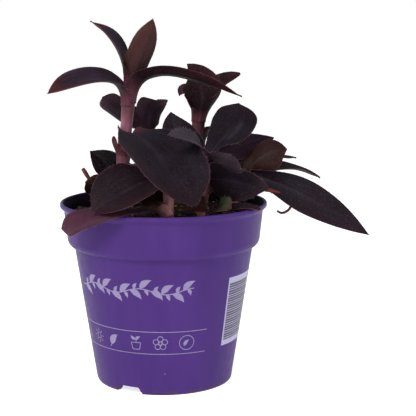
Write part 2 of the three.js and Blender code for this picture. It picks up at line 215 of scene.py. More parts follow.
def new_shoot(foot, top, radius, twig=None, **leaves):
    """The ends of a shoot's stem, its radius, its leaves and, on some, a thin dry twig."""
    return dict(foot=foot, top=top, radius=radius, twig=twig, leaves=leaves)


# The shoots, each with its leaves from the lowest up. A leaf's place along its stem runs from 0 at
# the foot to 1 at the top.
SHOOTS = dict(
    tall_shoot=new_shoot(
        (-28.5, 4, 80), (-18, 0, 180), 3.6,
        low_left_leaf=new_leaf(
            0.24, (-40, -2, 114.5), (-45, -6, 116.5), 17, sheath=6, taper=4, roll=70, kind="brown",
        ),
        # Its colours are painted dark as shade
        low_back_leaf=new_leaf(
            0.36, (-34, 4, 127), (-43, 8, 133.5), 20, sheath=6, roll=-50, taper=1.5, kind="painted_shade",
        ),
        bud_leaf=new_leaf(0.52, (-30, -1, 138), (-28.5, -2, 143), 12, sheath=4, kind="bract"),
        big_front_leaf=new_leaf(
            0.62, (-4.5, -46, 143.5), (16.6, -60, 110.8), 46, sheath=9, side=290, roll=9, widest=0.54,
            taper=3.5, open=0.1,
        ),
        left_leaf=new_leaf(
            0.8, (-44, -4, 177), (-65.8, -5, 167.4), 24, roll=-18, sheath=22, widest=0.6, taper=3.4,
            kind="crown",
        ),
        right_leaf=new_leaf(
            0.82, (-7, -9, 189.5), (44.5, -12, 166), 17, sheath=16, cup=20, kind="wine",
        ),
        upper_left_leaf=new_leaf(
            0.92, (-25, 1, 199), (-41, 0, 208.3), 19, roll=-5, taper=1.7, kind="crown",
        ),
        upright_leaf=new_leaf(0.93, (-8, -1, 196), (-5.5, 2, 209.7), 16, side=290, taper=3, kind="tan"),
        twig=dict(radius=1.2, path=[
            (-27, 3, 104), (-38, 2, 110.5), (-46.7, 0, 124),
        ]),
    ),
    front_shoot=new_shoot(
        (0.5, -38, 80), (4, -30, 130), 3.1,
        rim_leaf=new_leaf(
            0.42, (-34, -68.5, 115.5), (-56, -42, 96.5), 15, sheath=6, roll=-5, twist=-75, widest=0.55,
            taper=12, cup=-30, kind="mauve",
        ),
        olive_low_leaf=new_leaf(
            0.5, (-8, -28, 114), (-18, -30, 112), 18, sheath=4, roll=-40, kind="olive",
        ),
        low_front_leaf=new_leaf(
            0.78, (-22, -48, 119.5), (-38.7, -52, 105.5), 38, sheath=8, roll=-30, taper=3, kind="umber",
        ),
    ),
    back_shoot=new_shoot(
        (-13, 33, 80), (-9, 35, 153), 3.2,
        back_low_leaf=new_leaf(0.42, (-24, 54, 126), (-32, 66, 102), 26),
        back_left_leaf=new_leaf(
            0.84, (-20, 27, 150), (-36, 19, 163.5), 15, side=255, sheath=6, open=0.2, widest=0.6,
            taper=6, kind="dusk",
        ),
        back_right_leaf=new_leaf(
            0.84, (-9.5, 27, 155), (-3.5, 19, 162), 19, side=285, sheath=6, open=0.2, widest=0.8,
            taper=6, kind="dusk",
        ),
    ),
    right_shoot=new_shoot(
        (17, 18, 80), (22, 24, 168), 3.6,
        rear_low_leaf=new_leaf(0.42, (24, 50, 130), (26, 68, 103), 28),
        rear_middle_leaf=new_leaf(0.55, (8, 48, 138), (0, 64, 116), 24),
        green_leaf=new_leaf(0.64, (30, 20, 150), (30, 15, 146), 14, sheath=6, kind="olive"),
        crown_front_leaf=new_leaf(
            0.78, (28, 11, 173), (14, 15, 183.5), 25, side=270, sheath=10, widest=0.55, taper=1.3,
            open=0.6, kind="wine",
        ),
        crown_left_leaf=new_leaf(
            0.82, (12.5, 25, 171), (9.5, 24, 164), 12, taper=4, roll=-35, kind="mauve",
        ),
        crown_right_leaf=new_leaf(0.86, (32, 26, 171), (46, 26, 177.3), 17, roll=30, kind="wine"),
    ),
    inner_shoot=new_shoot(
        (18, -12, 80), (25, -18, 131.5), 3,
        wide_low_leaf=new_leaf(
            0.72, (38, -38, 122.5), (59, -26, 114.8), 26, side=60, sheath=5, open=0.12, widest=0.35,
        ),
        # This leaf's colours are painted dark as shade
        middle_leaf=new_leaf(0.6, (38, 8, 133.5), (48.5, 12, 125), 20, sheath=6, roll=20, kind="painted_shade"),
        inner_left_leaf=new_leaf(
            0.9, (6, -10, 138), (4.5, -4, 157), 21, sheath=7, roll=-60, taper=2.6, kind="blue",
        ),
        magenta_leaf=new_leaf(
            0.93, (43, 19, 133.5), (65.7, 18, 139.6), 20, sheath=8, roll=30, kind="magenta",
        ),
        pale_leaf=new_leaf(0.93, (14, -46, 148.5), (2, -45, 148), 10, roll=-45, taper=7, kind="frost"),
        folded_leaf=new_leaf(
            0.97, (33, -38, 132.5), (43, -48, 128.5), 11, sheath=3, roll=-60, widest=0.5, taper=5,
            kind="plum",
        ),
        # Its fold carries a painted highlight
        dark_leaf=new_leaf(
            0.97, (44, 6, 142), (45, 20, 160), 26, roll=20, widest=0.6, taper=3.4, kind="blue",
            crease=0.5,
        ),
    ),
    outer_shoot=new_shoot(
        (32, -4, 84), (46, -2, 121), 3,
        long_right_leaf=new_leaf(
            0.93, (70, -17, 118), (117, -20, 87.6), 20, side=60, roll=-15, sheath=6, open=0.5,
            widest=0.5, taper=1.8,
        ),
        thin_right_leaf=new_leaf(0.86, (72, 16, 128), (93.8, 20, 115), 16, sheath=8, kind="wine"),
        olive_leaf=new_leaf(
            0.95, (58, -7.5, 136), (71, -5.5, 135), 21, sheath=7, roll=-78, widest=0.66, kind="olive",
        ),
        twig=dict(radius=1.4, path=[
            (46, -3, 113), (53, -8, 113.4), (59, -13, 113), (64.5, -12, 111.5), (71, -10, 109),
            (73.4, -12, 106.2), (73, -12.5, 103.3), (70.8, -12, 100.4), (67.6, -12, 99.3),
            (65, -12, 100.5),
        ]),
    ),
    low_shoot=new_shoot(
        (26, -28, 84), (27, -27, 104), 2,
        rust_leaf=new_leaf(0.85, (20, -34, 112), (14, -38, 104), 14, sheath=4, roll=-50, kind="rust"),
        young_green_leaf=new_leaf(
            0.84, (31, -40, 108), (37, -44, 108), 14, sheath=4, roll=50, taper=5, kind="green",
        ),
        rim_right_leaf=new_leaf(
            0.8, (42, -34.5, 107), (53.5, -34.5, 105.2), 12, sheath=4, roll=20, kind="umber",
        ),
    ),
    rear_shoot=new_shoot(
        (36, 26, 84), (42, 28, 122), 2.6,
        rear_side_leaf=new_leaf(0.7, (60, 46, 126), (68, 58, 100), 24),
        rear_right_leaf=new_leaf(0.85, (54, 42, 132), (62, 58, 114), 20),
        rear_tip_leaf=new_leaf(0.92, (63, 28, 127), (80, 25, 126.8), 13),
    ),
)


def srgb(text):
    """A colour written as hexadecimal sRGB, as linear red, green and blue."""
    parts = [int(text[i : i + 2], 16) / 255 for i in (0, 2, 4)]
    return np.array([p / 12.92 if p <= 0.04045 else ((p + 0.055) / 1.055) ** 2.4 for p in parts])


def unit(vector):
    return vector / np.linalg.norm(vector)


def units(vectors):
    """The vectors, each made one long."""
    return vectors / np.maximum(np.linalg.norm(vectors, axis=-1, keepdims=True), 1e-9)


def smooth(t):
    t = np.clip(t, 0, 1)
    return t * t * (3 - 2 * t)


def fade(t, start, length):
    """From 0 at the start to 1 a length later."""
    return smooth((t - start) / length)


def ridge(t, place, width):
    """1 at a place and near 0 away from it."""
    return np.exp(-(((t - place) / width) ** 2))


def lerp(a, b, t):
    return a + (b - a) * t


def wash(colour, other, shares):
    """Colours mixed with another one, each by its own share."""
    return lerp(colour, other, shares[..., None])


def polar(radius, turn):
    """The place at a radius and a turn in radians from +X."""
    return radius * math.cos(turn), radius * math.sin(turn)


def gone_along(path):
    """How far along the path each of its points is."""
    return np.concatenate([[0], np.cumsum(np.linalg.norm(np.diff(path, axis=0), axis=1))])


def rows_at(places, gone, rows):
    """The rows of numbers that go with a path, read at places along it."""
    return np.stack([np.interp(places, gone, rows[:, k]) for k in range(3)], 1)


# The colours of each kind of leaf: its upper face, its underside, its tip and its foot
KINDS = {
    "slate": ("342b36", "3f2b30", "3d2a34", "5b3a44"),
    "blue": ("302833", "3c2931", "382935", "4b3842"),
    # Leaf colours painted dark as shade, for leaves that sit in shadow
    "painted_shade": ("1e161b", "20161a", "30222a", "30262c"),
    "dusk": ("6c5460", "5c4450", "745c68", "4c3a44"),
    "frost": ("5e545b", "60505a", "655c64", "54444e"),
    "crown": ("4c3a4c", "50303a", "84403a", "965460"),
    "tan": ("604042", "664240", "70463c", "744454"),
    "bract": ("8a4c54", "8a4c54", "6a3a40", "8a4c54"),
    "brown": ("43302c", "4a302c", "5a382e", "6b4448"),
    "umber": ("3c2b33", "3e2a2e", "4a2c30", "5a3a3a"),
    "wine": ("3a1e26", "341a20", "52262c", "a05c64"),
    "mauve": ("6c3e55", "623850", "784a62", "5a3444"),
    "plum": ("50404c", "4a3844", "5c4c56", "3a2832"),
    "magenta": ("4c2c48", "4e2a3c", "5a304c", "3a2434"),
    # The olive kind's dark foot colour is painted shadow where its base sits among the stems
    "olive": ("4a3426", "4b3027", "523028", "342822"),
    "green": ("6a7a4c", "6c7c50", "7a5a44", "7c8a5c"),
    "rust": ("5a2a26", "58282a", "6a2c28", "6a5a44"),
}
LEAF_DEPTH = 0.25

# How a leaf is painted, in shares that run from 0 to 1 along it and from -1 to 1 across it. A pair is
# where a colour starts and how far it takes to come in, or where it ends and how far it takes to go.
# The highlight painted along a fold has a place and a width across the leaf. A leaf that bends below
# LOW_LEAF clasps a pale stem foot.
LOW_LEAF = 118
LOW_CLASP_FADE = 0.22
CLASP_FADE = 0.12
FOOT_FADE = 0.24
TIP_PAINT = (0.7, 0.3)
FLANK_PAINT = (0.25, 0.4)
FLANK_ACROSS = (1 / 7, 5 / 7)
TIP_STRENGTH = 0.85
# The midrib is lightened as a painted highlight
MIDRIB_HIGHLIGHT_WIDTH = 0.045
MIDRIB_HIGHLIGHT_END = (0.9, 0.5)
MIDRIB_HIGHLIGHT_STRENGTH = 0.5
FOLD_HIGHLIGHT_ACROSS = (0.25, 0.1)
FOLD_HIGHLIGHT_START = (0.25, 0.2)
FOLD_HIGHLIGHT_END = (0.85, 0.2)
# The colour of the highlight painted along a fold
FOLD_HIGHLIGHT_COLOUR = srgb("3a3740")
MARGIN_ACROSS = (0.962, 0.03)
MARGIN_STRENGTH = 0.22
MARGIN_COLOUR = srgb("6a3a4c")

# How the stems are painted, in millimetres. The sheath's colour starts just over the leaf and fades
# out below the sheath's end, where a faint ring marks the joint.
STEM_COLOUR = srgb("835062")
STEM_FOOT_COLOUR = srgb("b28278")
STEM_FOOT_PAINT = (95, 30)
DARK_STEMS = {"right_shoot": 0.8, "back_shoot": 0.8}
SHEATH_COLOUR = srgb("4e2a32")
SHEATH_PAST = 3
SHEATH_FADE = 11
SHEATH_OVER = 1.5
SHEATH_STRENGTH = 0.85
JOINT_COLOUR = srgb("5c3440")
JOINT_WIDTH = 0.7
JOINT_STRENGTH = 0.12
BUD_COLOUR = srgb("4a2c34")
BUD_FADE = 3

# The twigs' colours at the start and the end, and the share of the radius left at the end
TWIG_LOOKS = {
    "tall_shoot": ("46282a", "5e3832", 1.0),
    "outer_shoot": ("602020", "3c1216", 0.5),
}

# How close the streaks and veins of the grain lie across a stem, a twig or a leaf and along it
STEM_STREAKS = (2.2, 0.09)
TWIG_STREAKS = (1.2, 3)
VEINS_ACROSS = 9
VEIN_LENGTH = 30

# The other colours, in linear red, green, blue and alpha. A pair is what a pattern runs between.
WHITE = (1, 1, 1, 1)
FLOOR_COLOUR = (0.8, 0.8, 0.8, 1)
HAIR_COLOUR = (0.2, 0.12, 0.15, 1)
PATCHES = ((1.12, 0.9, 0.96, 1), (0.95, 0.93, 1.1, 1))
BLOOM = (0.066, 0.05, 0.061, 1)
SHEEN = (0.8, 0.68, 0.78, 1)
STEM_SPECK = (0.1, 0.035, 0.05, 1)
PLASTIC = ((0.0465, 0.0188, 0.123, 1), (0.0545, 0.0225, 0.142, 1))
POT_DIRT = (0.07, 0.04, 0.03, 1)
# Painted shade: the pot's inside, nearly black, in two mottled tones
POT_INSIDE_SHADE = ((0.006, 0.003, 0.013, 1), (0.003, 0.002, 0.003, 1))
PEAT = ((0.006, 0.004, 0.003, 1), (0.042, 0.022, 0.014, 1))
PEAT_FLECK = (0.28, 0.17, 0.07, 1)
INKS = {
    "pot_ink": (0.216, 0.175, 0.31),
    "panel_ink": (0.36, 0.335, 0.49),
    "stripe_ink": (0.03, 0.025, 0.06),
}
INK_THINNED = (0.7, 0.66, 0.8)

# The loose bits on the soil, each with a pair of colours and a roughness
CRUMBS = {
    "peat_crumbs": (((0.008, 0.005, 0.004, 1), (0.045, 0.026, 0.016, 1)), 0.9),
    "pale_grit": (((0.2, 0.12, 0.045, 1), (0.42, 0.28, 0.12, 1)), 0.6),
    "peat_fibres": (((0.05, 0.03, 0.018, 1), (0.13, 0.08, 0.045, 1)), 0.8),
}


def into_scene(thing):
    bpy.context.scene.collection.objects.link(thing)


def piece_of(name, skin, material, nodes, layers=(), sharp=None):
    """A skin as a piece of the scene. It rides on the part's one body and stands for the nodes."""
    points, faces = skin
    mesh = bpy.data.meshes.new(name)
    mesh.from_pydata((np.asarray(points, float) * MM).tolist(), [], faces)
    mesh.polygons.foreach_set("use_smooth", [True] * len(mesh.polygons))
    for layer, kind, field, values in layers:
        made = mesh.attributes.new(layer, kind, "POINT")
        made.data.foreach_set(field, np.asarray(values, float).ravel())
    mesh.materials.append(material)
    mesh.update()
    if sharp is not None:
        mesh.set_sharp_from_angle(angle=math.radians(sharp))
    piece = bpy.data.objects.new(name, mesh)
    into_scene(piece)
    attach(piece, "root")
    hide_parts(*nodes)
    return piece


def grid_faces(rows, columns, start=0, flip=False, closed=False):
    """Quads over a grid of points, row after row."""
    across = columns if closed else columns - 1
    i, j = np.meshgrid(np.arange(rows - 1), np.arange(across), indexing="ij")
    a = start + i * columns + j
    b = start + i * columns + (j + 1) % columns
    quads = np.stack([a, b, b + columns, a + columns], -1).reshape(-1, 4)
    return (quads[:, ::-1] if flip else quads).tolist()


def ring_skin(rings):
    """A closed skin over rings of points, capped at both ends."""
    rows, columns = rings.shape[:2]
    faces = grid_faces(rows, columns, closed=True)
    faces.append(list(range(columns))[::-1])
    faces.append(list(range((rows - 1) * columns, rows * columns)))
    return rings.reshape(-1, 3), faces


def joined(skins):
    """Several skins as one list of points and one of faces."""
    points, faces, count = [], [], 0
    for skin_points, skin_faces in skins:
        points.append(np.asarray(skin_points, float))
        faces += [[v + count for v in face] for face in skin_faces]
        count += len(skin_points)
    return np.concatenate(points), faces


# Materials

SOCKETS = dict(
    colour="Base Color",
    roughness="Roughness",
    specular="Specular IOR Level",
    sheen="Sheen Weight",
    sheen_roughness="Sheen Roughness",
    sheen_tint="Sheen Tint",
    glow_colour="Emission Color",
    glow="Emission Strength",
)


def fill(tree, socket, value):
    """Links a socket into an input, or sets a number or a colour on it."""
    if isinstance(value, bpy.types.NodeSocket):
        tree.links.new(value, socket)
    else:
        socket.default_value = value


def new_material(name):
    material = bpy.data.materials.new(name)
    material.use_nodes = True
    return material, material.node_tree, material.node_tree.nodes["Principled BSDF"]


def set_shader(tree, shader, **values):
    for key, value in values.items():
        fill(tree, shader.inputs[SOCKETS[key]], value)


def add_node(tree, kind, values=(), **settings):
    """A shader node with its settings and inputs."""
    made = tree.nodes.new("ShaderNode" + kind)
    for key, value in settings.items():
        setattr(made, key, value)
    for key, value in dict(values).items():
        fill(tree, made.inputs[key], value)
    return made


def maths(tree, operation, a, b=0.0):
    return add_node(tree, "Math", {0: a, 1: b}, operation=operation).outputs[0]


def remap(tree, value, low, high, to_low=0.0, to_high=1.0):
    values = {"Value": value, "From Min": low, "From Max": high, "To Min": to_low, "To Max": to_high}
    return add_node(tree, "MapRange", values).outputs["Result"]


def mix(tree, factor, a, b, blend="MIX"):
    """A mix of two colours, where each colour is a socket or four numbers."""
    made = add_node(tree, "Mix", {0: factor, 6: a, 7: b}, data_type="RGBA", blend_type=blend)
    return made.outputs[2]


def two_tone(tree, pattern, low, high, pair):
    """The first colour of the pair where the pattern is low and the second where it is high."""
    return mix(tree, remap(tree, pattern, low, high), *pair)


def shaded(tree, colour, pattern, dark, light):
    """The colour made darker where the pattern is low and lighter where it is high."""
    level = remap(tree, pattern, 0.3, 0.7, dark, light)
    grey = add_node(tree, "CombineColor", {0: level, 1: level, 2: level}).outputs[0]
    return mix(tree, 1.0, colour, grey, "MULTIPLY")


def grain(tree, vector, scale, detail=3.0, roughness=0.55):
    values = {"Vector": vector, "Scale": scale, "Detail": detail, "Roughness": roughness}
    return add_node(tree, "TexNoise", values).outputs["Fac"]


def object_place(tree):
    return add_node(tree, "TexCoord").outputs["Object"]


def tint_and_blade(tree):
    """The painted colour of a leaf or stem, and the place along its grain."""
    tint = add_node(tree, "Attribute", attribute_name="tint").outputs["Color"]
    return tint, add_node(tree, "Attribute", attribute_name="blade").outputs["Vector"]


def bumped(tree, shader, height, strength, distance, under=None):
    values = {"Height": height, "Strength": strength, "Distance": distance}
    if under is not None:
        values["Normal"] = under
    normal = add_node(tree, "Bump", values).outputs["Normal"]
    tree.links.new(normal, shader.inputs["Normal"])
    return normal


def leaf_material():
    """Painted leaf colours with fine veins along the blade, soft blotches and a dusty bloom."""
    material, tree, shader = new_material("leaf_skin")
    tint, blade = tint_and_blade(tree)
    place = object_place(tree)
    veins = grain(tree, blade, 1.0, 4.0, 0.6)
    blotch = grain(tree, place, 90.0, 2.0)
    dust = grain(tree, place, 1300.0, 2.0, 0.7)
    patches = grain(tree, place, 45.0, 3.0)
    colour = shaded(tree, tint, veins, 0.66, 1.26)
    colour = shaded(tree, colour, blotch, 0.74, 1.24)
    hue = two_tone(tree, patches, 0.4, 0.6, PATCHES)
    colour = mix(tree, 1.0, colour, hue, "MULTIPLY")
    colour = mix(tree, remap(tree, dust, 0.55, 0.74, 0.0, 0.42), colour, BLOOM)
    rough = remap(tree, blotch, 0.3, 0.7, 0.46, 0.62)
    set_shader(tree, shader, colour=colour, roughness=rough, specular=0.07)
    set_shader(tree, shader, sheen=0.02, sheen_roughness=0.5, sheen_tint=SHEEN)
    fine = bumped(tree, shader, dust, 0.25, 0.0002)
    bumped(tree, shader, veins, 0.3, 0.0004, fine)
    return material


def stem_material():
    """Painted stem colours with streaks along the stem and small dark red specks."""
    material, tree, shader = new_material("stem_skin")
    tint, blade = tint_and_blade(tree)
    streaks = grain(tree, blade, 1.0, 3.0, 0.6)
    specks = grain(tree, object_place(tree), 900.0, 2.0, 0.6)
    colour = shaded(tree, tint, streaks, 0.72, 1.25)
    colour = mix(tree, remap(tree, specks, 0.58, 0.72, 0.0, 0.35), colour, STEM_SPECK)
    set_shader(tree, shader, colour=colour, roughness=0.5, specular=0.2, sheen=0.03)
    bumped(tree, shader, streaks, 0.4, 0.0004)
    return material


def hair_material():
    material, tree, shader = new_material("leaf_hair")
    set_shader(tree, shader, colour=HAIR_COLOUR, roughness=0.6, specular=0.2)
    return material


def pot_material():
    """Smooth moulded plastic with faint flow marks, a fine skin and a little soil on its foot."""
    material, tree, shader = new_material("pot_plastic")
    place = object_place(tree)
    height = add_node(tree, "SeparateXYZ", {0: place}).outputs["Z"]
    stretched = add_node(tree, "VectorMath", {0: place, 1: (1.0, 1.0, 0.25)}, operation="MULTIPLY")
    flow = grain(tree, stretched.outputs[0], 60.0, 3.0)
    skin = grain(tree, place, 700.0, 2.0)
    scuff = grain(tree, place, 230.0, 5.0, 0.7)
    colour = two_tone(tree, flow, 0.35, 0.65, PLASTIC)
    low = remap(tree, height, 0.001, 0.004, 1.0, 0.0)
    dirty = maths(tree, "MULTIPLY", low, remap(tree, scuff, 0.48, 0.6, 0.0, 0.8))
    colour = mix(tree, dirty, colour, POT_DIRT)
    rough = remap(tree, scuff, 0.35, 0.7, 0.36, 0.5)
    set_shader(tree, shader, colour=colour, roughness=rough, specular=0.07)
    fine = bumped(tree, shader, skin, 0.12, 0.0002)
    bumped(tree, shader, flow, 0.15, 0.0006, fine)
    return material


def grained_material(name, texture, pair, levels, bump, **values):
    """Two colours, mixed between two levels of one grain that also bumps the surface."""
    material, tree, shader = new_material(name)
    pattern = grain(tree, object_place(tree), *texture)
    set_shader(tree, shader, colour=two_tone(tree, pattern, *levels, pair), **values)
    bumped(tree, shader, pattern, *bump)
    return material


def inside_shade_material():
    """The pot's inside, painted nearly black as shade, in two mottled tones."""
    mottle, bump = (160.0, 5.0, 0.7), (0.2, 0.0004)
    values = dict(roughness=0.7, specular=0.05)
    return grained_material("pot_inside_shade", mottle, POT_INSIDE_SHADE, (0.4, 0.65), bump, **values)


def print_material(name):
    """Ink printed on the pot, a little uneven."""
    wear, bump = (1600.0, 3.0, 0.65), (0.1, 0.0001)
    thinned = [level * share for level, share in zip(INKS[name], INK_THINNED)]
    pair = ((*thinned, 1), (*INKS[name], 1))
    return grained_material(name, wear, pair, (0.35, 0.6), bump, roughness=0.45)


def crumb_material(name):
    lumps, bump = (700.0, 4.0, 0.7), (0.8, 0.0008)
    pair, roughness = CRUMBS[name]
    return grained_material(name, lumps, pair, (0.35, 0.65), bump, roughness=roughness)


def soil_material():
    """Dark peat with paler lumps and small gold flecks."""
    material, tree, shader = new_material("soil_peat")
    place = object_place(tree)
    lumps = grain(tree, place, 420.0, 6.0, 0.7)
    cells = add_node(tree, "TexVoronoi", {"Vector": place, "Scale": 900.0})
    colour = two_tone(tree, lumps, 0.35, 0.65, PEAT)
    near = remap(tree, cells.outputs["Distance"], 0.0, 0.22, 1.0, 0.0)
    picked = add_node(tree, "SeparateColor", {0: cells.outputs["Color"]}).outputs[0]
    fleck = maths(tree, "MULTIPLY", near, maths(tree, "GREATER_THAN", picked, 0.93))
    colour = mix(tree, fleck, colour, PEAT_FLECK)
    set_shader(tree, shader, colour=colour, roughness=0.9, specular=0.2)
    bumped(tree, shader, lumps, 0.9, 0.0015)
    return material


# The pot

def rounded(corners):
    """The profile with each corner replaced by a short curve that starts its reach before it."""
    points = [np.array(place, float) for place, _ in corners]
    made = [points[0]]
    for before, corner, after, (_, reach) in zip(points, points[1:], points[2:], corners[1:]):
        into = min(reach, np.linalg.norm(corner - before) / 2.1)
        out = min(reach, np.linalg.norm(after - corner) / 2.1)
        start = corner + unit(before - corner) * into
        end = corner + unit(after - corner) * out
        for s in np.linspace(0, 1, 5):
            made.append((1 - s) ** 2 * start + 2 * s * (1 - s) * corner + s * s * end)
    return made + [points[-1]]


def inside_corners():
    """Radius and height of the pot's inside, from its floor up to its band."""
    band_foot = POT_HEIGHT - BAND_HEIGHT
    return [
        (PAD_RADIUS - 2, WALL),
        (PAD_RADIUS - 1, FLOOR_TOP),
        (WALL_FOOT_RADIUS - WALL, FLOOR_TOP),
        (WALL_TOP_RADIUS - WALL, band_foot - SHOULDER_DROP + 1.5),
        (BAND_FOOT_RADIUS - WALL, band_foot + 0.5),
    ]


def pot_profile():
    """Radius and height from the middle of the underside, round the lip, to the middle of the floor."""
    band_foot = POT_HEIGHT - BAND_HEIGHT
    lip_foot = POT_HEIGHT - LIP_DROP
    ring = WALL_FOOT_RADIUS - FOOT_RING_WIDTH
    corners = [
        ((0, 0), 0),
        ((PAD_RADIUS, 0), 0.3),
        ((PAD_RADIUS + 1, CHANNEL_HEIGHT), 0.4),
        ((ring - FOOT_BEVEL, CHANNEL_HEIGHT), 0.4),
        ((ring, 0), 0.3),
        ((WALL_FOOT_RADIUS - FOOT_BEVEL, 0), 0.35),
        ((WALL_FOOT_RADIUS, 2 * FOOT_BEVEL), 0.5),
        ((WALL_TOP_RADIUS, band_foot - SHOULDER_DROP), 0.9),
    ]
    for turn in (20, 40, 60, 80):
        down, out = polar(1, math.radians(turn))
        r = WALL_TOP_RADIUS + (BAND_FOOT_RADIUS - WALL_TOP_RADIUS) * out
        corners.append(((r, band_foot - SHOULDER_DROP * down), 0.4))
    corners += [
        ((BAND_FOOT_RADIUS, band_foot), 0.5),
        ((BAND_TOP_RADIUS, lip_foot - 1), 0.6),
        ((LIP_RADIUS, lip_foot + 1), 0.5),
        ((LIP_RADIUS, POT_HEIGHT - EDGE_BEVEL), 0.4),
        ((LIP_RADIUS - EDGE_BEVEL, POT_HEIGHT), 0.3),
        ((LIP_RADIUS - LIP_WIDTH, POT_HEIGHT), 0.35),
        ((BAND_TOP_RADIUS - WALL, lip_foot - 1), 0.6),
    ]
    corners += zip(inside_corners()[::-1], (0.8, 0.8, 0.8, 0.4, 0.4))
    return rounded(corners + [((0, WALL), 0)])


def notch_lift(x, y):
    """How high the foot's edge stands at a place, 0 away from the notches."""
    azimuth = math.degrees(math.atan2(y, x))
    step = 360 / NOTCH_COUNT
    off = (azimuth - NOTCH_FIRST_AZIMUTH + step / 2) % step - step / 2
    along = abs(math.radians(off)) * WALL_FOOT_RADIUS
    into = (NOTCH_WIDTH / 2 - along) / NOTCH_SLOPE * (NOTCH_HEIGHT + 1) - 1
    return min(max(into, 0), NOTCH_HEIGHT)


def cut_notches(rings):
    """Lifts the foot's edge in the notches, and keeps its rings in their order there."""
    radius = np.hypot(rings[..., 0], rings[..., 1])
    foot = (rings[..., 2] < NOTCH_HEIGHT) & (radius > WALL_FOOT_RADIUS - FOOT_RING_WIDTH - 1)
    for i, j in zip(*np.nonzero(foot)):
        x, y, z = rings[i, j]
        lift = notch_lift(x, y)
        if lift > z:
            rings[i, j, 2] = lift + NOTCH_STACK * z


def cut_drains(shell):
    """Cuts the round drain holes through the pot's floor."""
    mesh = bpy.data.meshes.new("drain_cutter")
    pegs = bmesh.new()
    for i in range(DRAIN_COUNT):
        azimuth = math.radians(NOTCH_FIRST_AZIMUTH + 360 / DRAIN_COUNT * i)
        made = bmesh.ops.create_cone(
            pegs, cap_ends=True, segments=DRAIN_SIDES,
            radius1=DRAIN_RADIUS * MM, radius2=DRAIN_RADIUS * MM, depth=DRAIN_DEPTH * MM,
        )
        centre = Vector((math.cos(azimuth), math.sin(azimuth), 0)) * DRAIN_CIRCLE * MM
        centre.z = FLOOR_TOP * MM
        bmesh.ops.translate(pegs, verts=made["verts"], vec=centre)
    pegs.to_mesh(mesh)
    pegs.free()
    cutter = bpy.data.objects.new("drain_cutter", mesh)
    into_scene(cutter)
    cut = shell.modifiers.new("drains", "BOOLEAN")
    cut.operation = "DIFFERENCE"
    cut.solver = "EXACT"
    cut.object = cutter
    bpy.context.view_layer.update()
    graph = bpy.context.evaluated_depsgraph_get()
    cut_mesh = bpy.data.meshes.new_from_object(shell.evaluated_get(graph))
    shell.modifiers.clear()
    shell.data = cut_mesh
    bpy.data.objects.remove(cutter)


def make_pot():
    turns = np.linspace(0, 2 * math.pi, POT_SIDES, endpoint=False)
    rings = np.array([[(*polar(r, a), z) for a in turns] for r, z in pot_profile()[1:-1]])
    cut_notches(rings)
    shell = piece_of("pot_shell", ring_skin(rings), pot_material(), ["pot"], sharp=42)
    shell.data.materials.append(inside_shade_material())
    # Faces past the lip take the inside material, painted dark as shade
    inside = int(np.argmax(rings[:, 0, 2])) + LIP_RINGS
    for face in shell.data.polygons:
        face.material_index = int(min(face.vertices) >= inside * POT_SIDES)
    cut_drains(shell)


def wall_point(azimuth, height, lift):
    """A point on the pot's tapered wall, azimuth in degrees, lifted off it a little."""
    low = 2 * FOOT_BEVEL
    share = (height - low) / (POT_HEIGHT - BAND_HEIGHT - SHOULDER_DROP - low)
    r = lerp(WALL_FOOT_RADIUS, WALL_TOP_RADIUS, share) + lift
    return (*polar(r, math.radians(azimuth)), height)


def wall_radius(height):
    return math.hypot(*wall_point(0, height, 0)[:2])


# The print

def circle(x, y, radius):
    """Points on a circle, the first one again at the end."""
    turns = np.radians(np.linspace(0, 360, 33))
    return [(x + radius * math.cos(a), y + radius * math.sin(a)) for a in turns]


def dense(path, step=0.5):
    """The path with points added so that it follows the round wall."""
    path = np.array(path, float)
    made = [path[0]]
    for a, b in zip(path, path[1:]):
        count = max(1, int(np.linalg.norm(b - a) / step))
        made += [lerp(a, b, (k + 1) / count) for k in range(count)]
    return made


def stroke(path, widths, azimuth, height):
    """A raised line on the wall through path, which is (sideways, up) from a place on the wall."""
    path = np.array(path, float)
    widths = np.broadcast_to(widths, len(path))
    along = units(np.gradient(path, axis=0))
    across = np.stack([-along[:, 1], along[:, 0]], 1)
    radius = wall_radius(height)
    corners = ((-0.5, -INK_SUNK), (0.5, -INK_SUNK), (0.5, INK_LIFT), (-0.5, INK_LIFT))
    rings = []
    for place, side, width in zip(path, across, widths):
        ring = []
        for share, lift in corners:
            s, h = place + side * width * share
            ring.append(wall_point(azimuth + math.degrees(s / radius), height + h, lift))
        rings.append(ring)
    return ring_skin(np.array(rings))


def level_stroke(azimuth, height, start, end, width):
    """A level line from start to end, in millimetres past an azimuth."""
    return stroke(dense([(start, 0), (end, 0)], 1), width, azimuth, height)


def length_round(azimuths, height):
    """How far apart two azimuths are along the wall."""
    first, last = azimuths
    return math.radians(last - first) * wall_radius(height)


def thin(*paths):
    """Strokes of the usual width."""
    return [(path, LINE_WIDTH) for path in paths]


def leaf_stroke(root, direction, length, width):
    """The path and widths of a small pointed leaf."""
    s = np.linspace(0, 1, 17)
    turn = math.radians(direction)
    bend = 0.12 * length * np.sin(math.pi * s)
    x = root[0] + s * length * math.cos(turn) - bend * math.sin(turn)
    y = root[1] + s * length * math.sin(turn) + bend * math.cos(turn)
    return np.stack([x, y], 1), 0.08 + width * np.sin(math.pi * s**0.8) ** 1.2


def vine_rise(x):
    """How high the vine's stalk is at a place along it."""
    return VINE_WAVE * np.sin(x / VINE_REACH * math.pi * VINE_WAVES)


def vine_strokes():
    """A wavy vine with leaves on both sides, in (sideways, up)."""
    x = np.linspace(-VINE_REACH, VINE_REACH, 121)
    strokes = [(np.stack([x, vine_rise(x)], 1), 0.6)]
    for k, root in enumerate(np.arange(-34, 37, 6.0)):
        up = 1 if k % 2 else -1
        strokes.append(leaf_stroke((root, vine_rise(root)), 38 * up, 8.5, 3.4))
        strokes.append(leaf_stroke((root + 2.4, vine_rise(root + 2.4)), -62 * up, 4.2, 1.9))
    return strokes


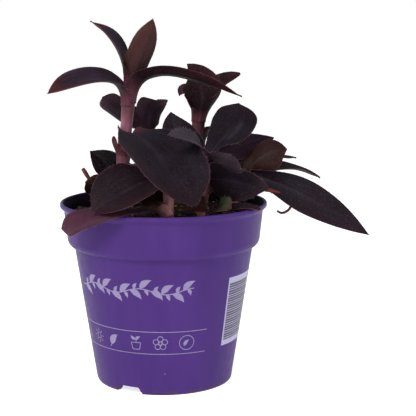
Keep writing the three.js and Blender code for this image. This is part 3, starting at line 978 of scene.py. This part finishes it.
def drawing_strokes():
    """The small drawings, each an azimuth and its strokes: drop, sun, leaf, pot, flower, badge."""
    drop = [(0, 4.6), (-1.5, 1.8), (-2.6, -0.6), (-2.4, -2.6), (0, -4)]
    drop = thin(drop + [(-x, y) for x, y in drop[-2::-1]])
    rays = [[polar(r, math.radians(45 * k)) for r in (2.5, 3.3, 4.2)] for k in range(8)]
    sun = thin(circle(0, 0, 1.7), *rays)
    leaf = [leaf_stroke((-2.6, -3.4), 52, 8.4, 4.0)] + thin([(-3.6, -4.6), (-2.6, -3.4)])
    rim = [(-2.8, 0), (-2, -4), (2, -4), (2.8, 0), (-2.8, 0)]
    jar = thin(rim, [(0, 0), (0.2, 1.4), (0, 2.6)])
    jar += [leaf_stroke((0, 1.4), 40, 3.6, 1.7), leaf_stroke((0, 1.8), 140, 3.6, 1.7)]
    petals = [circle(*polar(2.6, math.radians(90 + 72 * k)), 1.5) for k in range(5)]
    flower = thin(circle(0, 0, 0.9), *petals)
    badge = thin(circle(0, 0, 4.2)) + [leaf_stroke((-1.5, -1.9), 52, 4.6, 2.0)]
    return [(197, drop), (214, sun), (231, leaf), (249, jar), (267, flower), (286, badge)]


def print_piece(name, skins, ink):
    piece_of(name, joined(skins), print_material(ink), ["pot"], sharp=30)


def make_print():
    skins = [stroke(path, width, VINE_AZIMUTH, VINE_HEIGHT) for path, width in vine_strokes()]
    for azimuth, strokes in drawing_strokes():
        for path, width in strokes:
            path = dense(path) if np.ndim(width) == 0 else path
            skins.append(stroke(path, width, azimuth, DRAWING_HEIGHT))
    for height in BAND_HEIGHTS:
        length = length_round(BAND_AZIMUTHS, height)
        skins.append(level_stroke(BAND_AZIMUTHS[0], height, 0, length, LINE_WIDTH))
    skins.append(stroke(MARK_PATH, MARK_WIDTHS, *MARK_PLACE))
    print_piece("pot_print", skins, "pot_ink")

    first = PANEL_AZIMUTHS[0]
    low, high = PANEL_HEIGHTS
    middle = (low + high) / 2
    length = length_round(PANEL_AZIMUTHS, middle)
    print_piece("pot_panel", [level_stroke(first, middle, 0, length, high - low)], "panel_ink")
    stripes = []
    for k in range(STRIPE_COUNT):
        height = low + STRIPE_START + k * STRIPE_PITCH
        width = STRIPE_WIDTHS[k % len(STRIPE_WIDTHS)]
        points, faces = level_stroke(first, height, STRIPE_INSET, length - STRIPE_INSET, width)
        stripes.append((points * [STRIPE_OUT, STRIPE_OUT, 1], faces))
    print_piece("panel_stripes", stripes, "stripe_ink")


# The soil

def soil_height(x, y):
    """The packed soil's bumps with smaller ones on top of them."""
    along = 0.31 * x + 1.3 * math.sin(0.17 * y)
    across = 0.27 * y - 0.8 * math.sin(0.21 * x)
    wide = math.sin(along) * math.cos(across)
    fine = math.sin(0.83 * x + 0.4 * y + 2) * math.cos(0.71 * y - 0.3 * x)
    rise = SOIL_CROWN * (1 - math.hypot(x, y) / BAND_FOOT_RADIUS)
    lumps = 0.9 * noise.fractal(Vector((x, y, 3)) * 0.3, 0.8, 2.1, 4)
    return SOIL_LEVEL + SOIL_BUMP * (wide + fine / 2) + rise + lumps


def soil_edge():
    return BAND_FOOT_RADIUS - WALL - SOIL_CLEAR


def make_soil():
    turns = np.linspace(0, 2 * math.pi, SOIL_SIDES, endpoint=False)
    rings = [[(*polar(r - SOIL_CLEAR, a), z + GAP) for a in turns] for r, z in inside_corners()]
    for i in range(SOIL_RINGS, 0, -1):
        places = [polar(soil_edge() * i / SOIL_RINGS, a) for a in turns]
        rings.append([(x, y, soil_height(x, y)) for x, y in places])
    skin = ring_skin(np.array(rings))
    piece_of("soil_bed", skin, soil_material(), ["soil"], sharp=60)


def lump_shape():
    """The points and faces of a small ball."""
    ball = bmesh.new()
    bmesh.ops.create_icosphere(ball, subdivisions=2, radius=1)
    points = np.array([v.co[:] for v in ball.verts])
    faces = [[v.index for v in f.verts] for f in ball.faces]
    ball.free()
    return points, faces


def turned_at_random(random):
    """A random rotation matrix."""
    made, _ = np.linalg.qr(random.normal(size=(3, 3)))
    return made * np.sign(np.linalg.det(made))


def soil_spot(random, margin):
    """A random place on the soil, at least a margin inside its edge."""
    r = (soil_edge() - margin) * math.sqrt(random.random())
    return polar(r, random.random() * 2 * math.pi)


def scatter(name, look, random, count, low, high, squash, rest):
    """Small rough lumps between two sizes, that stick out of the soil by their share of rest."""
    shape, shape_faces = lump_shape()
    skins = []
    for _ in range(count):
        x, y = soil_spot(random, 1.5)
        size = low + (high - low) * random.random() ** 3
        stretch = np.array([1, 0.65 + 0.35 * random.random(), squash])
        rough = 1 + 0.22 * random.normal(size=(len(shape), 1)).clip(-1.5, 1.5)
        lump = (shape * rough * stretch * size) @ turned_at_random(random).T
        skins.append((lump + [x, y, soil_height(x, y) + size * rest], shape_faces))
    piece_of(name, joined(skins), crumb_material(look), ["soil"])


def scatter_fibres(name, look, random, count):
    """Short bent bits of root and peat on the soil."""
    skins = []
    for _ in range(count):
        start_x, start_y = soil_spot(random, 4)
        heading = random.random() * 2 * math.pi
        length = 3 + 6 * random.random()
        bend = random.normal() * 0.35
        turn = heading + bend * np.linspace(0, 1, 9) * 2
        x = start_x + np.cumsum(np.cos(turn)) * length / 9
        y = start_y + np.cumsum(np.sin(turn)) * length / 9
        z = np.array([soil_height(*p) for p in zip(x, y)]) + 0.25
        keep = np.hypot(x, y) < soil_edge() - 1
        if keep.sum() < 4:
            continue
        path = np.stack([x, y, z], 1)[keep]
        skins.append(tube(path, np.full(len(path), 0.12 + 0.12 * random.random()), 5))
    piece_of(name, joined(skins), crumb_material(look), ["soil"])


# The plant

def tube(path, radii, sides):
    """A skin round a path with a radius at each point."""
    along = units(np.gradient(path, axis=0))
    right = units(np.cross((0.0, 1.0, 0.0), along))
    front = np.cross(along, right)
    turns = np.linspace(0, 2 * math.pi, sides, endpoint=False)
    rings = path[:, None] + radii[:, None, None] * (
        right[:, None] * np.cos(turns)[:, None] + front[:, None] * np.sin(turns)[:, None]
    )
    return ring_skin(rings)


def painted(tint, blade):
    """The layers that the leaf and stem materials read: the colour and the place along the grain."""
    tint = np.concatenate([tint, np.ones((len(tint), 1))], 1)
    return [("tint", "FLOAT_COLOR", "color", tint), ("blade", "FLOAT_VECTOR", "vector", blade)]


def streaked(colours, sides, along, streaks):
    """The layers of a stem: its colours, and places for its streaks, round it and along it."""
    across, length = streaks
    turns = np.tile(np.arange(sides) / sides * 2 * math.pi, len(along))
    blade = [across * np.cos(turns), across * np.sin(turns), np.repeat(along * length, sides)]
    return painted(np.repeat(colours, sides, axis=0), np.stack(blade, 1))


def shoot_line(shoot):
    """A shoot's foot, direction and length."""
    foot, top = np.array(shoot["foot"], float), np.array(shoot["top"], float)
    return foot, unit(top - foot), np.linalg.norm(top - foot)


def shoot_radius(shoot, s):
    """The stem's radius at shares s of its length, wider under each leaf, where its sheath is."""
    _, _, length = shoot_line(shoot)
    s = np.asarray(s, float)
    sheath = np.zeros_like(s)
    for leaf in shoot["leaves"].values():
        below = (leaf["at"] - s) * length
        cone = SHEATH_THICKNESS * np.minimum(1, 1 - below / SHEATH_HEIGHT)
        cone = np.where(below < 0, SHEATH_THICKNESS * smooth(1 + below / SHEATH_LIP), cone)
        cone = np.where(below > SHEATH_HEIGHT, 0, cone)
        sheath = np.maximum(sheath, cone)
    return shoot["radius"] * (1 - STEM_TAPER * s**6) + sheath


def stem_paint(name, shoot, shares, heights):
    """The colours along a stem, from its pale foot, past its dark sheaths, to its bud."""
    _, _, length = shoot_line(shoot)
    places = [leaf["at"] for leaf in shoot["leaves"].values()]
    colour = wash(STEM_FOOT_COLOUR, STEM_COLOUR, fade(heights, *STEM_FOOT_PAINT))
    colour = lerp(colour, SHEATH_COLOUR, DARK_STEMS.get(name, 0))
    for place in places:
        below = (place - shares) * length
        sheath = smooth((SHEATH_HEIGHT + SHEATH_PAST - below) / SHEATH_FADE)
        sheath = sheath * smooth(below + SHEATH_OVER)
        colour = wash(colour, SHEATH_COLOUR, SHEATH_STRENGTH * sheath)
        joint = ridge(below, SHEATH_HEIGHT, JOINT_WIDTH)
        colour = wash(colour, JOINT_COLOUR, JOINT_STRENGTH * joint)
    return wash(colour, BUD_COLOUR, smooth((shares - max(places)) * length / BUD_FADE))


def make_stem(name, shoot, material):
    foot, along, length = shoot_line(shoot)
    shares = np.linspace(STEM_SUNK / length, 1, int(length / STEM_STEP))
    radii = shoot_radius(shoot, shares)
    path = foot + along * (shares * length)[:, None]
    past, left = np.array(STEM_TIP).T
    tip = path[-1] + along * (past * shoot["radius"] / STEM_TIP_RADIUS)[:, None]
    path = np.concatenate([path, tip])
    radii = np.concatenate([radii, radii[-1] * left])
    shares = np.concatenate([shares, np.ones(len(left))])
    height = path[:, 2]
    layers = streaked(stem_paint(name, shoot, shares, height), STEM_SIDES, height, STEM_STREAKS)
    piece_of(name + "_stem", tube(path, radii, STEM_SIDES), material, [name], layers)


def leaf_frames(shoot, leaf):
    """Points, directions and upward normals along a leaf's midrib, its clasp's radius, its length."""
    foot, stem, length = shoot_line(shoot)
    axis = foot + stem * length * leaf["at"]
    over, tip = np.array(leaf["over"], float), np.array(leaf["tip"], float)
    out = over - axis
    if leaf["side"] is not None:
        out = np.array([*polar(1, math.radians(leaf["side"])), 0])
    out = unit(out - stem * out.dot(stem))
    clasp = float(shoot_radius(shoot, leaf["at"])) + BLADE_CAD / 2 - SINK
    base = axis + out * clasp
    corners = np.array([base, base + stem * leaf["sheath"], over, tip])
    s = np.linspace(0, 1, CURVE_STATIONS)[:, None]
    curve = (1 - s) ** 3 * corners[0] + 3 * s * (1 - s) ** 2 * corners[1]
    curve = curve + 3 * s * s * (1 - s) * corners[2] + s**3 * corners[3]
    gone = gone_along(curve)
    t = np.linspace(0, 1, BLADE_STATIONS + 1)
    points = rows_at(t * gone[-1], gone, curve)
    along = units(np.gradient(points, axis=0))
    normals = np.zeros_like(points)
    normal = -out
    for i in range(len(t)):
        normal = unit(normal - along[i] * normal.dot(along[i]))
        normals[i] = normal
    return t, points, along, normals, clasp, gone[-1]


def half_widths(leaf, t, base):
    """Half the leaf's width at shares t along it, from its clasp's half width to its tip."""
    half = leaf["width"] / 2
    rising = base + (half - base) * smooth(t / leaf["widest"])
    rest = np.clip((t - leaf["widest"]) / (1 - leaf["widest"]), 0, 1)
    falling = half * (1 - rest ** leaf["taper"])
    return np.maximum(TIP_HALF_WIDTH, np.where(t < leaf["widest"], rising, falling))


def rolled(normals, along, angles):
    """The normals turned about the leaf's own direction."""
    side = np.cross(along, normals)
    return normals * np.cos(angles)[:, None] + side * np.sin(angles)[:, None]


def leaf_shape(shoot, leaf, random):
    """The leaf's two faces as grids of points, with the shares u across and t along."""
    t, points, along, normals, clasp, length = leaf_frames(shoot, leaf)
    turn = leaf["roll"] * smooth(t / ROLLED_BY) + leaf["twist"] * t * t
    up = rolled(normals, along, np.radians(turn))
    side = np.cross(along, up)
    clasped = 1 - smooth(t / leaf["open"])
    arch = np.radians(leaf["cup"] + (CLASP - leaf["cup"]) * clasped)
    arch = np.where(np.abs(arch) < FLAT, FLAT, arch)[:, None]
    half = half_widths(leaf, t, clasp * math.radians(CLASP))[:, None]
    u = np.sin(np.linspace(-1, 1, BLADE_STRIPS + 1) * math.pi / 2)[None, :]
    radius = half / arch
    t = t[:, None]
    loose = smooth(t / RIPPLED_FROM)
    wave = np.sin(2 * math.pi * (leaf["waves"] * t + RIPPLE_SLANT * u))
    relief = leaf["ripple"] * u * u * wave * loose
    crimp = 0
    for phase, pitch, half_leaf in zip(random.uniform(0, 6, 2), CRIMP_PITCHES, (u > 0, u < 0)):
        crimp = crimp + np.sin(length / pitch * t + phase) * half_leaf
    relief = relief + CRIMP * np.abs(u) ** 3 * crimp * loose
    groove = ridge(u * half, 0, GROOVE_WIDTH) * loose * smooth((1 - t) / GROOVE_END)
    relief = relief - GROOVE_DEPTH * groove
    relief = relief + RIB_HEIGHT * np.cos(u * math.pi * RIB_COUNT) * loose
    thick = lerp(BLADE_THICK, EDGE_THICK, np.abs(u) ** 2.5)
    thick = thick * (1 - TIP_THINNED * fade(t, *TIP_THINNING))
    faces = []
    for sign in (1, -1):
        lift = sign * thick / 2
        bend = ((radius - lift) * np.sin(arch * u))[..., None]
        rise = (radius - (radius - lift) * np.cos(arch * u) + relief)[..., None]
        faces.append(points[:, None] + side[:, None] * bend + up[:, None] * rise)
    size = faces[0].shape[:2]
    return faces, np.broadcast_to(u, size), np.broadcast_to(t, size), length


def leaf_paint(leaf, u, t, upper):
    """The colours over one face of a leaf."""
    face, under, tip, foot = (LEAF_DEPTH * srgb(c) for c in KINDS[leaf["kind"]])
    colour = np.broadcast_to(face if upper else under, u.shape + (3,))
    flank = u if leaf["tip"][0] > leaf["over"][0] else -u
    flush = fade(t, *TIP_PAINT) + fade(flank, *FLANK_ACROSS) * fade(t, *FLANK_PAINT)
    colour = wash(colour, tip, TIP_STRENGTH * np.minimum(flush, 1))
    # The foot colour; for the olive kind it is painted shadow
    colour = wash(colour, foot, 1 - smooth(t / FOOT_FADE))
    clasp, reach = SHEATH_COLOUR, CLASP_FADE
    if leaf["over"][2] < LOW_LEAF:
        clasp, reach = STEM_FOOT_COLOUR, LOW_CLASP_FADE
    colour = wash(colour, clasp, 1 - smooth(t / reach))
    # A painted highlight along the midrib
    end, length = MIDRIB_HIGHLIGHT_END
    midrib_highlight = ridge(u, 0, MIDRIB_HIGHLIGHT_WIDTH) * smooth((end - t) / length)
    colour = wash(colour, colour * 1.5 + 0.01, MIDRIB_HIGHLIGHT_STRENGTH * midrib_highlight)
    # A painted highlight along the leaf's fold
    end, length = FOLD_HIGHLIGHT_END
    crease = ridge(u, *FOLD_HIGHLIGHT_ACROSS) * fade(t, *FOLD_HIGHLIGHT_START) * smooth((end - t) / length)
    colour = wash(colour, FOLD_HIGHLIGHT_COLOUR, leaf["crease"] * crease)
    return wash(colour, MARGIN_COLOUR, MARGIN_STRENGTH * fade(np.abs(u), *MARGIN_ACROSS))


def leaf_faces(rows, columns):
    """Quads over both grids of a leaf and round its rim."""
    count = rows * columns
    faces = grid_faces(rows, columns) + grid_faces(rows, columns, count, flip=True)
    for i in range(rows - 1):
        a, b = i * columns, (i + 1) * columns
        faces.append([a, b, b + count, a + count])
        a, b = a + columns - 1, b + columns - 1
        faces.append([b, a, a + count, b + count])
    for j in range(columns - 1):
        faces.append([j + 1, j, j + count, j + 1 + count])
        k = count - columns + j
        faces.append([k, k + 1, k + 1 + count, k + count])
    return faces


def make_leaf(name, node, shoot, leaf, material, random):
    """One leaf with its painted faces. Returns its margins as points and outward directions."""
    (inner, outer), u, t, length = leaf_shape(shoot, leaf, random)
    skin = np.concatenate([inner.reshape(-1, 3), outer.reshape(-1, 3)]), leaf_faces(*u.shape)
    tint = [leaf_paint(leaf, u, t, upper).reshape(-1, 3) for upper in (True, False)]
    own = random.uniform(0, 50)
    blade = [u * VEINS_ACROSS + own, t * length / VEIN_LENGTH, np.zeros_like(u)]
    blade = np.stack(blade, -1).reshape(-1, 3)
    layers = painted(np.concatenate(tint), np.concatenate([blade, blade + [0, 0, 3]]))
    piece_of(name, skin, material, [node], layers)
    middle = (inner + outer) / 2
    margins = ((middle[:, column], middle[:, inward]) for column, inward in ((0, 1), (-1, -2)))
    return [(edge, units(edge - within)) for edge, within in margins]


def hairs_along(margin, random):
    """Short fine spikes that stand out of a margin."""
    edge, outward = margin
    gone = gone_along(edge)
    count = int(gone[-1] / HAIR_GAP)
    places = np.sort(random.uniform(0, gone[-1], count))
    base = rows_at(places, gone, edge)
    away = rows_at(places, gone, outward)
    away = units(away + random.normal(size=away.shape) * HAIR_SPREAD)
    bend = random.normal(size=away.shape) * HAIR_BEND
    length = random.uniform(*HAIR_LENGTH, count)[:, None]
    first = units(np.cross(away, random.normal(size=away.shape)))
    second = np.cross(away, first)
    rings = []
    for s, radius in ((HAIR_ROOT, HAIR_RADIUS), (0.5, HAIR_RADIUS * HAIR_WAIST)):
        centre = base + away * length * s + bend * length * s * s
        for turn in (0, 2 * math.pi / 3, 4 * math.pi / 3):
            rings.append(centre + radius * (first * math.cos(turn) + second * math.sin(turn)))
    rings.append(base + away * length + bend * length)
    points = np.stack(rings, 1)
    pattern = [(2, 1, 0), (0, 1, 4, 3), (1, 2, 5, 4), (2, 0, 3, 5), (3, 4, 6), (4, 5, 6), (5, 3, 6)]
    faces = [[7 * k + v for v in face] for k in range(count) for face in pattern]
    return points.reshape(-1, 3), faces


def between(k, start, end, a, b):
    """From a where k is the start to b where it is the end."""
    return (end - k) / (end - start) * a + (k - start) / (end - start) * b


def curve_through(path, count):
    """Evenly spaced points on a smooth curve through the path, the centripetal kind."""
    path = np.array(path, float)
    path = np.concatenate([[2 * path[0] - path[1]], path, [2 * path[-1] - path[-2]]])
    made = []
    for points in zip(path, path[1:], path[2:], path[3:]):
        spans = [math.sqrt(np.linalg.norm(b - a)) for a, b in zip(points, points[1:])]
        knots = np.concatenate([[0], np.cumsum(spans)])
        k = np.linspace(knots[1], knots[2], TWIG_SPAN_STEPS, endpoint=False)[:, None]
        for reach in (1, 2):
            pairs = zip(knots, knots[reach:], points, points[1:])
            points = [between(k, *pair) for pair in pairs]
        made.append(between(k, knots[1], knots[2], *points))
    made = np.concatenate([*made, path[-2][None]])
    gone = gone_along(made)
    return rows_at(np.linspace(0, gone[-1], count), gone, made)


def make_twig(name, twig, material):
    """A dry twig or a curled dead leaf tip, thinner towards its end."""
    start, end, left = TWIG_LOOKS[name]
    path = curve_through(twig["path"], TWIG_STATIONS)
    s = np.linspace(0, 1, TWIG_STATIONS)
    height, pitch = TWIG_KNOBS
    radii = twig["radius"] * lerp(1, left, smooth(s)) * (1 + height * np.sin(s * pitch))
    layers = streaked(wash(srgb(start), srgb(end), s), TWIG_SIDES, s, TWIG_STREAKS)
    piece_of(name + "_twig", tube(path, radii, TWIG_SIDES), material, [name], layers)


def make_plant():
    leaves, stems, hairs = leaf_material(), stem_material(), hair_material()
    random = np.random.default_rng(SEED)
    for name, shoot in SHOOTS.items():
        make_stem(name, shoot, stems)
        if shoot["twig"]:
            make_twig(name, shoot["twig"], stems)
        tufts = []
        for leaf_name, leaf in shoot["leaves"].items():
            for margin in make_leaf(leaf_name, name, shoot, leaf, leaves, random):
                tufts.append(hairs_along(margin, random))
        piece_of(name + "_hairs", joined(tufts), hairs, [name])


# The camera, the floor and the light

def aim(thing, direction):
    thing.rotation_euler = direction.to_track_quat("-Z", "Y").to_euler()


def make_camera():
    data = bpy.data.cameras.new("camera")
    data.lens = CAMERA_LENS
    data.sensor_width = SENSOR
    data.clip_start = NEAR_CLIP
    camera = bpy.data.objects.new("camera", data)
    into_scene(camera)
    camera.location = Vector(CAMERA_PLACE) * MM
    level = math.cos(CAMERA_PITCH)
    heading = (math.sin(CAMERA_YAW) * level, math.cos(CAMERA_YAW) * level, -math.sin(CAMERA_PITCH))
    aim(camera, Vector(heading))
    bpy.context.scene.camera = camera


def make_floor():
    mesh = bpy.data.meshes.new("floor")
    corners = [(x * FLOOR_REACH, y * FLOOR_REACH, 0) for x, y in ((-1, -1), (1, -1), (1, 1), (-1, 1))]
    mesh.from_pydata(corners, [], [(0, 1, 2, 3)])
    floor = bpy.data.objects.new("floor", mesh)
    into_scene(floor)
    material, tree, shader = new_material("floor_paint")
    set_shader(tree, shader, colour=FLOOR_COLOUR, roughness=0.9, specular=0.0)
    set_shader(tree, shader, glow_colour=WHITE, glow=FLOOR_GLOW)
    mesh.materials.append(material)


def add_lamp(name, place, size, power):
    data = bpy.data.lights.new(name, "AREA")
    data.shape = "DISK"
    data.size = size
    data.energy = power
    lamp = bpy.data.objects.new(name, data)
    into_scene(lamp)
    lamp.location = place
    aim(lamp, Vector(LAMP_TARGET) - Vector(place))


def make_light():
    world = bpy.data.worlds.new("studio")
    world.use_nodes = True
    tree = world.node_tree
    direction = add_node(tree, "TexCoord").outputs["Generated"]
    height = add_node(tree, "SeparateXYZ", {0: direction}).outputs["Z"]
    glow = remap(tree, height, SWEEP_TOP, SWEEP_END, SWEEP_GLOW, ROOM_GLOW)
    background = tree.nodes["Background"]
    fill(tree, background.inputs["Strength"], glow)
    fill(tree, background.inputs["Color"], WHITE)
    bpy.context.scene.world = world
    for name, lamp in LAMPS.items():
        add_lamp(name, *lamp)
    bpy.context.scene.view_settings.view_transform = "Standard"


def main():
    make_camera()
    make_floor()
    make_light()
    make_pot()
    make_print()
    make_soil()
    random = np.random.default_rng(SEED + 1)
    crumbs = dict(count=620, low=0.6, high=2.4, squash=0.7, rest=0.25)
    scatter("soil_crumbs", "peat_crumbs", random, **crumbs)
    grit = dict(count=240, low=0.3, high=0.9, squash=0.6, rest=0.9)
    scatter("soil_grit", "pale_grit", random, **grit)
    scatter_fibres("soil_fibres", "peat_fibres", random, count=70)
    make_plant()


main()
